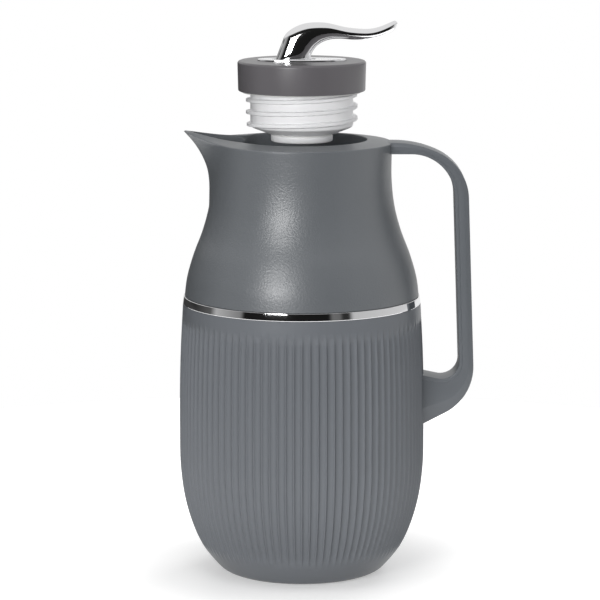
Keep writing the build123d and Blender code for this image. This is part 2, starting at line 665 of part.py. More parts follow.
with BuildPart() as valve_gasket:
    with BuildSketch(Plane.XY.offset(DISC_Z1)):
        Circle(DISC_R - 0.5)
        Circle(PORT_R - 1.5, mode=Mode.SUBTRACT)
    extrude(amount=PLUG_END_Z - DISC_Z1 - RUN)

SPRING_R, WIRE_R, COILS = 4.1, 0.35, 3.5
SPRING_Z0 = PLATE_TOP + WIRE_R + 0.02
SPRING_Z1 = BUTTON_Z - BUTTON_H - WIRE_R - 0.02
with BuildPart() as return_spring:
    with BuildLine() as coil:
        Helix(pitch=(SPRING_Z1 - SPRING_Z0) / COILS, height=SPRING_Z1 - SPRING_Z0, radius=SPRING_R,
              center=(0, 0, SPRING_Z0))
    with BuildSketch(Plane(origin=coil.line @ 0, z_dir=coil.line % 0)):
        Circle(WIRE_R)
    sweep(path=coil.line, is_frenet=True)

# ---------------------------------------- write every piece
PIECES = {
    "lower_casing": lower_casing, "base_cover": base_cover, "glass_liner": glass_liner,
    "liner_spacers": liner_spacers, "liner_cushion": liner_cushion, "neck_gasket": neck_gasket,
    "neck_collar": neck_collar, "shoulder_casing": shoulder_casing, "trim_band": trim_band,
    "handle_shell": handle_shell, "handle_cover": handle_cover, "handle_screws": handle_screws,
    "stopper_seal": stopper_seal, "threaded_plug": threaded_plug, "plug_plate": plug_plate,
    "stem_seal": stem_seal, "stopper_cap": stopper_cap, "escutcheon": escutcheon,
    "cap_screws": cap_screws, "lever_pin": lever_pin, "thumb_lever": thumb_lever,
    "valve_stem": valve_stem, "stem_button": stem_button, "valve_disc": valve_disc,
    "valve_gasket": valve_gasket, "return_spring": return_spring,
}
for name, piece in PIECES.items():
    save(piece.part, name)
print(f"liner holds {liner_bore.part.volume / 1e6:.2f} litres to the lip")
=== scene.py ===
"""Looks of the vacuum jug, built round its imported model.

Shapes are drawn in millimetres in the model's own frame and scaled to metres as each mesh is made.
+Z is up the jug's axis, the spout points to -X and the handle to +X.
"""

from math import acos, atan2, cos, degrees, pi, radians, sin, sqrt, tan

import bmesh
import bpy
import numpy as np
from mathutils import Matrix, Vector


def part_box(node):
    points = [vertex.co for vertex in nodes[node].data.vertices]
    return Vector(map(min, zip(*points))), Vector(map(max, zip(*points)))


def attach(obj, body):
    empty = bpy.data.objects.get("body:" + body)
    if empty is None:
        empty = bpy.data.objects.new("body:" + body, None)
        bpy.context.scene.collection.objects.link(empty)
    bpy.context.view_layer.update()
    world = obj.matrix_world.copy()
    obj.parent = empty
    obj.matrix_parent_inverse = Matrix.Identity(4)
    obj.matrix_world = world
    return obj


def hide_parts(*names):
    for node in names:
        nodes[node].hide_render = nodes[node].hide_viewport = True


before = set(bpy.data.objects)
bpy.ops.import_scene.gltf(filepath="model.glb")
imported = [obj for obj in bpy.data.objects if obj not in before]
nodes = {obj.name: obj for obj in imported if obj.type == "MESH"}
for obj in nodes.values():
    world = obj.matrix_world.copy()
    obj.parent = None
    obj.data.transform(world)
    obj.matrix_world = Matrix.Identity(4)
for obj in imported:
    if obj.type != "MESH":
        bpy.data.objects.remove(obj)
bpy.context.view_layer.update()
SCENE = bpy.context.scene
MM = 0.001


def corners(node):
    """Lowest and highest corner of a CAD node, in millimetres."""
    low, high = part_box(node)
    return low / MM, high / MM


# ---------------------------------------------------------------- sizes taken from the frame
BODY_R = corners("lower_casing")[1].y             # widest radius
BAND_Z, BAND_TOP = corners("trim_band")[0].z, corners("trim_band")[1].z
CAP_R = corners("stopper_cap")[1].y
CAP_Z, CAP_TOP = corners("stopper_cap")[0].z, corners("stopper_cap")[1].z
PLATE_X, PLATE_Y = corners("escutcheon")[1].x, corners("escutcheon")[1].y
PLATE_TOP = corners("escutcheon")[1].z
GRIP_HALF = corners("handle_shell")[1].y          # half the handle's width
TIP_X = -corners("shoulder_casing")[0].x          # spout tip, from the axis
TIP_Z = corners("shoulder_casing")[1].z
SEAL_Z = corners("stopper_seal")[0].z
DISC_R = corners("valve_disc")[1].y
DISC_Z, DISC_TOP = corners("valve_disc")[0].z, corners("valve_disc")[1].z
LINER_R = corners("glass_liner")[1].y
LIP_Z = corners("glass_liner")[1].z
BASE_COVER_R = corners("base_cover")[1].y

# ---------------------------------------------------------------- lines and sections


def through(points, steps=8):
    """A smooth line through points, steps to each stretch (centripetal Catmull-Rom)."""
    p = [np.array(q, float) for q in points]
    p = [2 * p[0] - p[1], *p, 2 * p[-1] - p[-2]]
    line = []
    for a, b, c, d in zip(p, p[1:], p[2:], p[3:]):
        t1 = np.linalg.norm(b - a) ** 0.5
        t2 = t1 + np.linalg.norm(c - b) ** 0.5
        t3 = t2 + np.linalg.norm(d - c) ** 0.5
        for t in np.linspace(t1, t2, steps, endpoint=False):
            ab = (a * (t1 - t) + b * t) / t1
            bc = (b * (t2 - t) + c * (t - t1)) / (t2 - t1)
            cd = (c * (t3 - t) + d * (t - t2)) / (t3 - t2)
            abc = (ab * (t2 - t) + bc * t) / t2
            bcd = (bc * (t3 - t) + cd * (t - t1)) / (t3 - t1)
            line.append((abc * (t2 - t) + bcd * (t - t1)) / (t2 - t1))
    return [*line, p[-2]]


def rounded(points, steps=5, closed=True):
    """An outline whose corners are rounded: each point is (r, z) or (r, z, radius of the round)."""
    line, count = [], len(points)
    for i, point in enumerate(points):
        here = np.array(point[:2], float)
        radius = point[2] if len(point) > 2 else 0
        if not radius or (not closed and i in (0, count - 1)):
            line.append(here)
            continue
        before = np.array(points[i - 1][:2], float) - here
        after = np.array(points[(i + 1) % count][:2], float) - here
        before, after = before / np.linalg.norm(before), after / np.linalg.norm(after)
        half = acos(max(-1, min(1, before @ after))) / 2
        centre = here + (before + after) / np.linalg.norm(before + after) * radius / sin(half)
        start = here + before * radius / tan(half) - centre
        end = here + after * radius / tan(half) - centre
        turn = pi - 2 * half
        for k in range(steps + 1):
            t = k / steps
            line.append(centre + (start * sin((1 - t) * turn) + end * sin(t * turn)) / sin(turn))
    return line


RUN_STEPS = 24                    # steps along each straight run or arc of a path


def path(start, heading, *moves):
    """Points along straight runs (length, 0) and arcs (radius, degrees turned clockwise), per move."""
    x, z, turn = *start, radians(heading)
    runs = []
    for size, bend in moves:
        run = []
        for k in range(RUN_STEPS + 1):
            t = k / RUN_STEPS
            if bend:
                angle = radians(bend) * t
                cx, cz = x + size * sin(turn), z - size * cos(turn)
                run.append((cx - size * sin(turn - angle), cz + size * cos(turn - angle)))
            else:
                run.append((x + size * t * cos(turn), z + size * t * sin(turn)))
        runs.append(run)
        x, z = run[-1]
        turn -= radians(bend)
    return runs


# ---------------------------------------------------------------- meshes
def grid_faces(rows, columns, closed_rows=True, first=0):
    """Quads between rows of points that each run once round."""
    faces = []
    for i in range(rows if closed_rows else rows - 1):
        for j in range(columns):
            a, b = i * columns, (i + 1) % rows * columns
            k = (j + 1) % columns
            faces.append((first + a + j, first + a + k, first + b + k, first + b + j))
    return faces


def make_piece(name, points, faces, look, body, slot, *stands_for, sharp=38):
    """A mesh object from points in millimetres, on its body, in place of the CAD nodes it stands for."""
    mesh = bpy.data.meshes.new(name)
    mesh.from_pydata([tuple(float(c) * MM for c in p) for p in points], [], faces)
    work = bmesh.new()
    work.from_mesh(mesh)
    bmesh.ops.remove_doubles(work, verts=work.verts, dist=1e-7)
    bmesh.ops.recalc_face_normals(work, faces=work.faces)
    work.to_mesh(mesh)
    work.free()
    mesh.polygons.foreach_set("use_smooth", [True] * len(mesh.polygons))
    mesh.set_sharp_from_angle(angle=radians(sharp))
    piece = bpy.data.objects.new(name, mesh)
    SCENE.collection.objects.link(piece)
    mesh.materials.append(look)
    if stands_for:
        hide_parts(*stands_for)
    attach(piece, body)
    return piece


def rings(section, columns=192, shift=None):
    """A section turned round the jug's axis; shift(angle, r, z) may move each point to a new (r, z)."""
    points = []
    for r, z in section:
        for k in range(columns):
            angle = 2 * pi * k / columns
            rr, zz = shift(angle, r, z) if shift else (r, z)
            points.append((rr * cos(angle), rr * sin(angle), zz))
    return points


def turned(name, section, look, body, slot, *stands_for, columns=192, **options):
    """A ring or pot: a closed section turned round the jug's axis."""
    faces = grid_faces(len(section), columns)
    return make_piece(name, rings(section, columns), faces, look, body, slot, *stands_for, **options)


def turned_solid(name, section, look, body, slot, *stands_for, columns=160, **options):
    """A solid on the jug's axis: an open section that starts and ends on flat faces across the axis."""
    points = rings(section, columns)
    faces = grid_faces(len(section), columns, closed_rows=False)
    last = (len(section) - 1) * columns
    faces += [tuple(reversed(range(columns))), tuple(range(last, last + columns))]
    return make_piece(name, points, faces, look, body, slot, *stands_for, **options)


# ---------------------------------------------------------------- materials
def new_material(name):
    """An empty node material with its principled shader and output."""
    look = bpy.data.materials.new(name)
    look.use_nodes = True
    return look, look.node_tree.nodes, look.node_tree.links, look.node_tree.nodes["Principled BSDF"]


def add_node(tree, kind, **values):
    """A node with its properties and unlinked inputs set by name."""
    made = tree.new(kind)
    for key, value in values.items():
        if hasattr(made, key):
            setattr(made, key, value)
        else:
            made.inputs[key.replace("_", " ")].default_value = value
    return made


GLOSS_DRIFT = 0.03                # how far a plastic's roughness wanders either way
MARKS = 0.05                      # how much rougher the wiping marks on bright metal are


def moulded(name, colour, roughness, tone=0.03, grain=0.05, grain_size=0.0004, sheen=0.5, scatter=0.0):
    """Moulded plastic: a faint drift of tone, uneven gloss and a fine spark-eroded grain."""
    look, tree, links, shader = new_material(name)
    place = add_node(tree, "ShaderNodeTexCoord")
    drift = add_node(tree, "ShaderNodeTexNoise", Scale=22.0, Detail=3.0)
    links.new(place.outputs["Object"], drift.inputs["Vector"])
    mix = add_node(tree, "ShaderNodeMix", data_type="RGBA")
    links.new(drift.outputs["Fac"], mix.inputs[0])
    mix.inputs[6].default_value = (*[c * (1 - tone) for c in colour], 1)
    mix.inputs[7].default_value = (*[min(1, c * (1 + tone)) for c in colour], 1)
    links.new(mix.outputs[2], shader.inputs["Base Color"])
    gloss_noise = add_node(tree, "ShaderNodeTexNoise", Scale=160.0, Detail=4.0)
    links.new(place.outputs["Object"], gloss_noise.inputs["Vector"])
    gloss = add_node(tree, "ShaderNodeMapRange", To_Min=roughness - GLOSS_DRIFT,
                     To_Max=roughness + GLOSS_DRIFT)
    links.new(gloss_noise.outputs["Fac"], gloss.inputs["Value"])
    links.new(gloss.outputs["Result"], shader.inputs["Roughness"])
    pores = add_node(tree, "ShaderNodeTexNoise", Scale=1 / grain_size, Detail=2.0)
    links.new(place.outputs["Object"], pores.inputs["Vector"])
    bump = add_node(tree, "ShaderNodeBump", Strength=grain, Distance=grain_size / 4)
    links.new(pores.outputs["Fac"], bump.inputs["Height"])
    links.new(bump.outputs["Normal"], shader.inputs["Normal"])
    shader.inputs["Specular IOR Level"].default_value = sheen
    shader.inputs["Subsurface Weight"].default_value = scatter
    shader.inputs["Subsurface Radius"].default_value = (0.004, 0.004, 0.004)
    return look


def plated(name, colour, roughness, wave=0.02):
    """Bright metal: a slow unevenness in the surface and faint wiping marks in its gloss."""
    look, tree, links, shader = new_material(name)
    shader.inputs["Metallic"].default_value = 1.0
    shader.inputs["Base Color"].default_value = (*colour, 1)
    place = add_node(tree, "ShaderNodeTexCoord")
    marks = add_node(tree, "ShaderNodeTexNoise", Scale=90.0, Detail=5.0)
    links.new(place.outputs["Object"], marks.inputs["Vector"])
    gloss = add_node(tree, "ShaderNodeMapRange", To_Min=roughness, To_Max=roughness + MARKS)
    links.new(marks.outputs["Fac"], gloss.inputs["Value"])
    links.new(gloss.outputs["Result"], shader.inputs["Roughness"])
    swell = add_node(tree, "ShaderNodeTexNoise", Scale=60.0, Detail=1.0)
    links.new(place.outputs["Object"], swell.inputs["Vector"])
    bump = add_node(tree, "ShaderNodeBump", Strength=wave, Distance=0.001)
    links.new(swell.outputs["Fac"], bump.inputs["Height"])
    links.new(bump.outputs["Normal"], shader.inputs["Normal"])
    return look


def drawn_steel(name):
    """Plain steel with fine lines along its length."""
    look = plated(name, (0.58, 0.58, 0.57), 0.25)
    tree, links = look.node_tree.nodes, look.node_tree.links
    shader = tree["Principled BSDF"]
    place = add_node(tree, "ShaderNodeTexCoord")
    stretch = add_node(tree, "ShaderNodeMapping", Scale=(3000, 3000, 90))
    links.new(place.outputs["Object"], stretch.inputs["Vector"])
    lines = add_node(tree, "ShaderNodeTexNoise", Scale=1.0, Detail=2.0)
    links.new(stretch.outputs["Vector"], lines.inputs["Vector"])
    bump = add_node(tree, "ShaderNodeBump", Strength=0.1, Distance=0.0001)
    links.new(lines.outputs["Fac"], bump.inputs["Height"])
    links.new(bump.outputs["Normal"], shader.inputs["Normal"])
    return look


fluted_grey = moulded("fluted_grey", (0.150, 0.161, 0.177), 0.36, grain=0.06, sheen=0.45)
shoulder_grey = moulded("shoulder_grey", (0.124, 0.134, 0.145), 0.37, tone=0.02, grain=0.50,
                        grain_size=0.0010, sheen=0.95)
handle_grey = moulded("handle_grey", (0.122, 0.133, 0.146), 0.38, tone=0.02, grain=0.04, sheen=0.60)
cap_grey = moulded("cap_grey", (0.118, 0.112, 0.120), 0.33, tone=0.03, grain=0.10, sheen=0.65)
white_plastic = moulded("white_plastic", (0.86, 0.86, 0.87), 0.30, tone=0.01, grain=0.02, scatter=0.15)
white_silicone = moulded("white_silicone", (0.74, 0.74, 0.73), 0.55, tone=0.02, grain=0.05, scatter=0.1)
black_rubber = moulded("black_rubber", (0.02, 0.02, 0.02), 0.65, tone=0.1, grain=0.15)
pad_grey = moulded("pad_grey", (0.20, 0.19, 0.18), 0.8, tone=0.1, grain=0.2)
chrome = plated("chrome", (0.86, 0.86, 0.87), 0.03)
lever_chrome = plated("lever_chrome", (0.88, 0.88, 0.89), 0.04)
silvering = plated("silvering", (0.80, 0.82, 0.86), 0.06, wave=0.05)
steel = drawn_steel("steel")

# ---------------------------------------------------------------- lower casing
BASE_R = 41.0                     # ring that the jug stands on
BASE_BORE = BASE_COVER_R + 0.05
FOOT_R, FOOT_TURN = 10.0, 47      # round of the foot, and how far it turns
BOSS_R, BOSS_H = 40.0, 12.0       # ring inside the base that holds its cover
WALL = 2.6
FLUTES = 96
FLUTE_DEPTH = 1.20
RIDGE_POWER = 6                   # how narrow the rounded ridges are beside the hollows
# Places of the mesh's columns across one flute, from a ridge (0) to the next (1), closer at the ridges.
FLUTE_PLACES = (0.0, 0.05, 0.10, 0.16, 0.26, 0.5, 0.74, 0.84, 0.90, 0.95)
FLUTE_LOW, FLUTE_HIGH = 11.5, 147.5
FADE_LOW, FADE_HIGH = 9.0, 7.0    # lengths over which the flutes die away
SPIGOT_R = 65.3                   # bore that takes the shoulder's spigot

foot = [(BASE_R + FOOT_R * sin(radians(a)), FOOT_R * (1 - cos(radians(a))))
        for a in np.linspace(0, FOOT_TURN, 9)]
wall_line = through([foot[-2], foot[-1], (57.9, 15.4), (65.9, 36.0), (69.5, 58.0), (BODY_R - 0.02, 84.0),
                     (69.45, 124.0), (67.8, BAND_Z), (67.3, BAND_Z + 8)], 12)[12:-12]
outside = [*foot[:-1], *wall_line]


def flute_share(z):
    """How deep the flutes are at height z, from 0 to 1."""
    low = min(1.0, max(0.0, (z - FLUTE_LOW) / FADE_LOW))
    high = min(1.0, max(0.0, (FLUTE_HIGH - z) / FADE_HIGH))
    share = min(low, high)
    return share * share * (3 - 2 * share)


def build_lower_casing():
    """One closed shell, its outside cut by shallow hollows with narrow rounded ridges between them."""
    columns = [(k + u, u) for k in range(FLUTES) for u in FLUTE_PLACES]
    line = [np.array(p) for p in outside]
    points = []
    for i, here in enumerate(line):
        along = line[min(i + 1, len(line) - 1)] - line[max(i - 1, 0)]
        normal = np.array((along[1], -along[0])) / np.linalg.norm(along)
        share = flute_share(here[1]) * min(1.0, here[0] / BODY_R)
        for turn, u in columns:
            hollow = 1 - abs(cos(pi * u)) ** RIDGE_POWER
            r, z = here - normal * FLUTE_DEPTH * share * hollow
            angle = 2 * pi * turn / FLUTES
            points.append((r * cos(angle), r * sin(angle), z))
    inner_line = [(line[-1][0] - 0.5, BAND_Z), (SPIGOT_R, BAND_Z), (SPIGOT_R, 140), (66.5, 120), (67.2, 84),
                  (66.6, 58), (63.2, 37), (55.5, 18), (48, 6), (43, 3), (BOSS_R, 3), (BOSS_R, BOSS_H),
                  (BASE_BORE, BOSS_H), (BASE_BORE, 0.4), (BASE_BORE + 0.4, 0)]
    for r, z in inner_line:
        for turn, _ in columns:
            angle = 2 * pi * turn / FLUTES
            points.append((r * cos(angle), r * sin(angle), z))
    faces = grid_faces(len(line) + len(inner_line), len(columns))
    make_piece("fluted_casing", points, faces, fluted_grey, "jug", "casing_grey", "lower_casing", sharp=65)


build_lower_casing()

# ---------------------------------------------------------------- trim band
band_section = [(SPIGOT_R, BAND_Z + 0.1), (67.7, BAND_Z + 0.1, 0.1), (67.8, BAND_Z + 0.4, 0.2),
                (67.25, BAND_TOP - 0.15, 0.12), (67.0, BAND_TOP, 0.05), (SPIGOT_R, BAND_TOP)]
turned("bright_band", rounded(band_section), chrome, "jug", "chrome_trim", "trim_band", columns=360)

# ---------------------------------------------------------------- shoulder casing with its spout
NECK_R = 51.0
RIM_Z, MOUTH_Z, MOUTH_R = 247.0, 248.6, 37.0
SEAT_Z = 232.3                    # floor of the mouth, under the neck collar's flange
COLLAR_R = 34.45                  # hole that the neck collar goes through
SHOULDER_Z = BAND_TOP + 0.3
TIP_ROUND = 0.040                 # angle that rounds the spout's front edge
CHANNEL_ROUND = 0.040             # the same in the channel's nose
EDGE_R = 0.7                      # rounds along the rim
SPOUT_COLUMNS = 0.80              # angle either side of the spout with closer columns of the mesh

# The channel in the spout has two straight sides, drawn as lines in plan.
SIDE_X, SIDE_Y = 0.4659, 0.8849   # direction square to a side
SIDE_OFF = 31.54                  # distance of a side from the axis
SIDE_ANGLE = 1.2                  # angle from the spout at which the sides end
SIDE_REACH = 8.0                  # a side further than this inside the mouth's circle has no effect
SIDE_BLEND = 0.5                  # softness of the corner between a side and the circle
CHANNEL_ANGLE = 0.62              # angle from the spout at which the channel's floor ends
# Away from the axis along the channel: the height of its floor, and half its width.
CHANNEL_LOW = ((20, 34, 50, 59, 64), (237, 237.5, 245.6, 249.8, 252.0))
CHANNEL_HALF = ((20, 31.8, 62, 66), (24, 18.9, 3.4, 1.6))
CHANNEL_POWER = 2.6               # how flat the floor is before its sides rise

# The moulding is hollow under the rim, and its lower end is a spigot inside the lower casing.
HOLLOW_R0, HOLLOW_R1, HOLLOW_TOP = 39.4, 48.4, 245.4
SPIGOT_IN, SPIGOT_OUT, SPIGOT_Z = 62.85, 65.25, 146

shoulder_line = np.array(through([(66.95, 155.5), (66.7, SHOULDER_Z), (65.4, 169.5), (61.7, 182.5),
                                  (56.4, 196.5), (52.7, 210.5), (NECK_R, 226.0), (NECK_R, 240),
                                  (51.2, 246.3), (51.2, 256)], 12))
# How far the front edge of the spout stands from the axis at each height.
spout_front = np.array(through([(52.9, 205), (52.6, 214), (52.5, 222), (52.7, 226), (53.7, 232),
                                (56.3, 238.7), (60.4, 245.6), (64.2, 250.2), (66.3, 252.4),
                                (TIP_X - 0.05, TIP_Z)], 12))
# Height of the outer and inner edges of the rim along the spout.
outer_edge = np.array(through([(28, RIM_Z), (35, 247.15), (44, 247.7), (52.6, 248.9), (60, 251.0),
                               (64.5, 252.7), (TIP_X, TIP_Z - 0.25)], 8))
inner_edge = np.array(through([(28, MOUTH_Z), (33, MOUTH_Z), (45, 249.7), (56, 251.6), (62, 252.8),
                               (TIP_X, TIP_Z - 0.15)], 8))


def body_radius(z):
    """Radius of the shoulder and neck at height z."""
    return float(np.interp(z, shoulder_line[:, 1], shoulder_line[:, 0]))


def outer_radius(angle, z):
    """Radius of the casing's outside, angle away from the spout: two flat flanks that meet at its front."""
    r = body_radius(z)
    front = float(np.interp(z, spout_front[:, 1], spout_front[:, 0]))
    reach = acos(min(1.0, r / max(front, r + 1e-6))) + TIP_ROUND
    away = sqrt(angle * angle + TIP_ROUND * TIP_ROUND)
    return r / cos(reach - away) if away < reach else r


def edge_height(edge, x, level):
    """Height of a rim edge, x towards the spout; behind the axis it is level."""
    return float(np.interp(x, edge[:, 0], edge[:, 1])) if x > 0 else level


def rim_edge(angle):
    """Radius and height of the rim's outer edge; each depends on the other, so they are found in turns."""
    z = RIM_Z
    for _ in range(12):
        z = edge_height(outer_edge, outer_radius(angle, z) * cos(angle), RIM_Z)
    return outer_radius(angle, z), z


def channel_edge(angle):
    """Radius and height of the rim's inner edge: the round mouth, opened towards the spout."""
    away = sqrt(angle * angle + CHANNEL_ROUND * CHANNEL_ROUND)
    r = MOUTH_R
    if away < SIDE_ANGLE:
        past = SIDE_OFF / (SIDE_X * cos(away) + SIDE_Y * sin(away)) - MOUTH_R
        if past > -SIDE_REACH:
            r = MOUTH_R + (past + sqrt(past * past + SIDE_BLEND)) / 2
    return r, edge_height(inner_edge, r * cos(angle), MOUTH_Z)


def channel_floor(r, angle):
    """Height of the trough in the spout."""
    x, y = r * cos(angle), abs(r * sin(angle))
    low, half = float(np.interp(x, *CHANNEL_LOW)), float(np.interp(x, *CHANNEL_HALF))
    top = float(np.interp(x, inner_edge[:, 0], inner_edge[:, 1]))
    return low + (top - low) * min(1.0, y / half) ** CHANNEL_POWER


def shoulder_column(angle):
    """The casing's section at one angle away from the spout, once round."""
    rim_r, rim_z = rim_edge(angle)
    lip_r, lip_z = channel_edge(angle)
    line = []
    for share in np.linspace(0, 1, 64):
        z = SHOULDER_Z + (rim_z - EDGE_R - SHOULDER_Z) * share
        line.append((outer_radius(angle, z), z))
    for a in (18, 36, 54, 72, 90):
        line.append((rim_r - EDGE_R * (1 - cos(radians(a))), rim_z - EDGE_R * (1 - sin(radians(a)))))
    start, end = line[-1], (lip_r + EDGE_R, lip_z)
    for t in (0.2, 0.4, 0.6, 0.8, 1.0):
        line.append((start[0] + (end[0] - start[0]) * t, start[1] + (end[1] - start[1]) * t))
    for a in (20, 40, 60, 90):
        line.append((lip_r + EDGE_R * (1 - sin(radians(a))), lip_z - EDGE_R * (1 - cos(radians(a)))))
    in_channel = abs(angle) < CHANNEL_ANGLE
    for t in np.linspace(0.07, 1, 14):
        r = lip_r + (MOUTH_R - lip_r) * t
        top = lip_z - EDGE_R - 2.0 * t
        line.append((r, min(top, channel_floor(r, angle)) if in_channel else top))
    low = line[-1][1]
    line += [(MOUTH_R, low + (SEAT_Z - low) * t) for t in (0.25, 0.5, 0.75, 1.0)]
    roof = min(HOLLOW_TOP, channel_floor(MOUTH_R + 2.4, angle) - 2.4) if in_channel else HOLLOW_TOP
    line += [(COLLAR_R, SEAT_Z), (COLLAR_R, SEAT_Z - WALL)]
    line += [(HOLLOW_R0, SEAT_Z - WALL), (HOLLOW_R0, roof), (HOLLOW_R1, roof)]
    line += [(body_radius(z) - WALL, z) for z in (236, 226, 216, 206, 196, 186, 176, 168)]
    line += [(62.9, SHOULDER_Z), (SPIGOT_IN, SPIGOT_Z)]
    line += [(SPIGOT_OUT, SPIGOT_Z), (SPIGOT_OUT, SHOULDER_Z - 0.2)]
    return line


def build_shoulder():
    """Shoulder, neck, rim and spout as one closed shell, with more columns round the spout."""
    angles = [*np.linspace(-SPOUT_COLUMNS, SPOUT_COLUMNS, 161),
              *np.linspace(SPOUT_COLUMNS, 2 * pi - SPOUT_COLUMNS, 200)[1:-1]]
    sections = [shoulder_column(a if a <= pi else a - 2 * pi) for a in angles]
    points = []
    for row in range(len(sections[0])):
        for a, section in zip(angles, sections):
            r, z = section[row]
            points.append((-r * cos(a), -r * sin(a), z))
    faces = grid_faces(len(sections[0]), len(angles))
    make_piece("shoulder_shell", points, faces, shoulder_grey, "jug", "casing_grey", "shoulder_casing")


build_shoulder()

# ---------------------------------------------------------------- handle
STRIP = 2.2                       # thickness of the strip on the finger side
NECK_IN = 48.7                    # the handle starts inside the neck's wall
FOOT_IN = 68.4                    # and ends inside the lower casing's
inner_runs = path((NECK_IN, 240.8), 0,
                  (62.0 - NECK_IN, 0), (24.4, 25), (24.4, 63), (95, 0), (10, 104), (13, 0))
outer_runs = path((NECK_IN, 247.2), 0,
                  (52.0 - NECK_IN, 0), (60, 25), (30, 63), (96, 0), (30, 64.6), (36, 0))


def clipped(run):
    """A straight run that stops inside the casing's wall."""
    (x0, z0), (x1, z1) = run[0], run[-1]
    share = (x0 - FOOT_IN) / (x0 - x1)
    return [(x0 + (x1 - x0) * share * t, z0 + (z1 - z0) * share * t)
            for t in np.linspace(0, 1, RUN_STEPS + 1)]


inner_runs[-1], outer_runs[-1] = clipped(inner_runs[-1]), clipped(outer_runs[-1])
finger_side = [np.array(p) for run in inner_runs for p in run[:-1]] + [np.array(inner_runs[-1][-1])]
back_side = [np.array(p) for run in outer_runs for p in run[:-1]] + [np.array(outer_runs[-1][-1])]


def build_bar(name, section_at, look, stands_for):
    """A bar along the handle. section_at(thickness) gives its section as (depth from the finger side, y)."""
    points, width = [], 0
    for near, far in zip(finger_side, back_side):
        across = far - near
        thick = float(np.linalg.norm(across))
        section = section_at(thick)
        width = len(section)
        for depth, y in section:
            x, z = near + across / thick * depth
            points.append((x, y, z))
    rows = len(finger_side)
    faces = grid_faces(rows, width, closed_rows=False)
    faces += [tuple(reversed(range(width))), tuple(range((rows - 1) * width, rows * width))]
    make_piece(name, points, faces, look, "jug", "casing_grey", stands_for)


def shell_section(thick):
    """Flat sides with a crease along them, where they slope in to the rounded back."""
    crease = max(STRIP + 0.8, 0.66 * thick)
    back = GRIP_HALF - 0.5 * min(3.0, 0.34 * thick)
    side = [(STRIP, 0.12), (crease, 0.6)]
    return rounded([*[(depth, -GRIP_HALF, r) for depth, r in reversed(side)],
                    *[(depth, GRIP_HALF, r) for depth, r in side],
                    (thick, back, 1.2), (thick, -back, 1.2)], steps=4)


def strip_section(thick):
    """The closing strip, a little narrower than the shell, with rounded edges."""
    edge = GRIP_HALF - 0.06
    low, high = 0.02, STRIP - 0.02
    return rounded([(low, -edge, 0.7), (low, edge, 0.7), (high, edge, 0.1), (high, -edge, 0.1)])


build_bar("handle_back", shell_section, handle_grey, "handle_shell")
build_bar("handle_strip", strip_section, handle_grey, "handle_cover")

# ---------------------------------------------------------------- glass liner
FLASK_Z, HIP_Z = 15.0, 60.0       # bottom of the flask, and where its bowl ends
FLASK_WALL = 7.5                  # from the flask's outside to its inside
FLASK_NECK, FLASK_BORE = 28.9, 22.1
LIP_H = 3.4                       # height of the rounded lip


def liner_side(depth, neck_r, top):
    """One side of a glass wall, depth inside the liner's outside, from near the axis up."""
    r = LINER_R - depth
    low = FLASK_Z + depth
    bowl = [(r * sin(a) ** 0.85, low + (HIP_Z - low) * (1 - cos(a) ** 0.9))
            for a in np.linspace(0.02, pi / 2, 18)]
    neck = through([(r, 140), (r, 152), (r - 3, 164), (r - 9 + depth / 2, 175), (neck_r + 8, 188),
                    (neck_r, 200), (neck_r, 206)], 8)[8:-8]
    return [*bowl, *neck, (neck_r, top)]


def build_liner():
    """The double-walled flask: its outside and its inside meet at a rounded lip."""
    top = LIP_Z - 3.5
    outer, inner = liner_side(0.2, FLASK_NECK, top), liner_side(FLASK_WALL, FLASK_BORE, top)
    middle, half = (FLASK_NECK + FLASK_BORE) / 2, (FLASK_NECK - FLASK_BORE) / 2
    lip = [(middle + half * cos(a), top + LIP_H * sin(a)) for a in np.linspace(0.2, pi - 0.2, 12)]
    section = [*outer, *lip, *reversed(inner)]
    turned_solid("flask", section, silvering, "jug", "silvered_glass", "glass_liner")


build_liner()

# ---------------------------------------------------------------- stopper cap and its chrome plate
SLOT_X0, SLOT_X1, SLOT_HALF = -16.9, 8.2, 5.9     # opening that the lever swings in
CAP_WALL, CEILING = 2.0, 2.4                      # thickness of the cap's side and of its top
CAP_EDGE = 1.5                                    # round of the cap's top edge
RECESS, PLATE_FOOT = 1.0, 0.9                     # depth of the plate's recess, and of its foot in it
PLATE_ROUND, SLOT_ROUND = 0.7, 0.4                # rounds of the plate's rim and of its slot
POLAR = 240                                       # columns round the cap and the plate


def slot_point(angle, grow=0.0):
    """Where a ray from the slot's middle meets its outline, widened by grow."""
    half, middle = SLOT_HALF + grow, (SLOT_X0 + SLOT_X1) / 2
    straight = (SLOT_X1 - SLOT_X0) / 2 - SLOT_HALF
    c, s = cos(angle), sin(angle)
    reach = half / abs(s) if abs(s) > 1e-9 else 1e9
    if reach * abs(c) > straight:
        b = straight * abs(c)
        reach = b + sqrt(b * b - straight * straight + half * half)
    return middle + reach * c, reach * s


def oval_point(angle, grow=0.0):
    """A point of the plate's oval, widened by grow."""
    return (PLATE_X + grow) * cos(angle), (PLATE_Y + grow) * sin(angle)


def circle_point(angle, radius):
    """A point of a circle on the jug's axis."""
    return radius * cos(angle), radius * sin(angle)


def polar_piece(name, levels, look, body, slot, stands_for):
    """A closed shell from loops round the axis: each level is (outline, its argument, height)."""
    points = []
    for outline, size, z in levels:
        points += [(*outline(2 * pi * k / POLAR, size), z) for k in range(POLAR)]
    return make_piece(name, points, grid_faces(len(levels), POLAR), look, body, slot, stands_for)


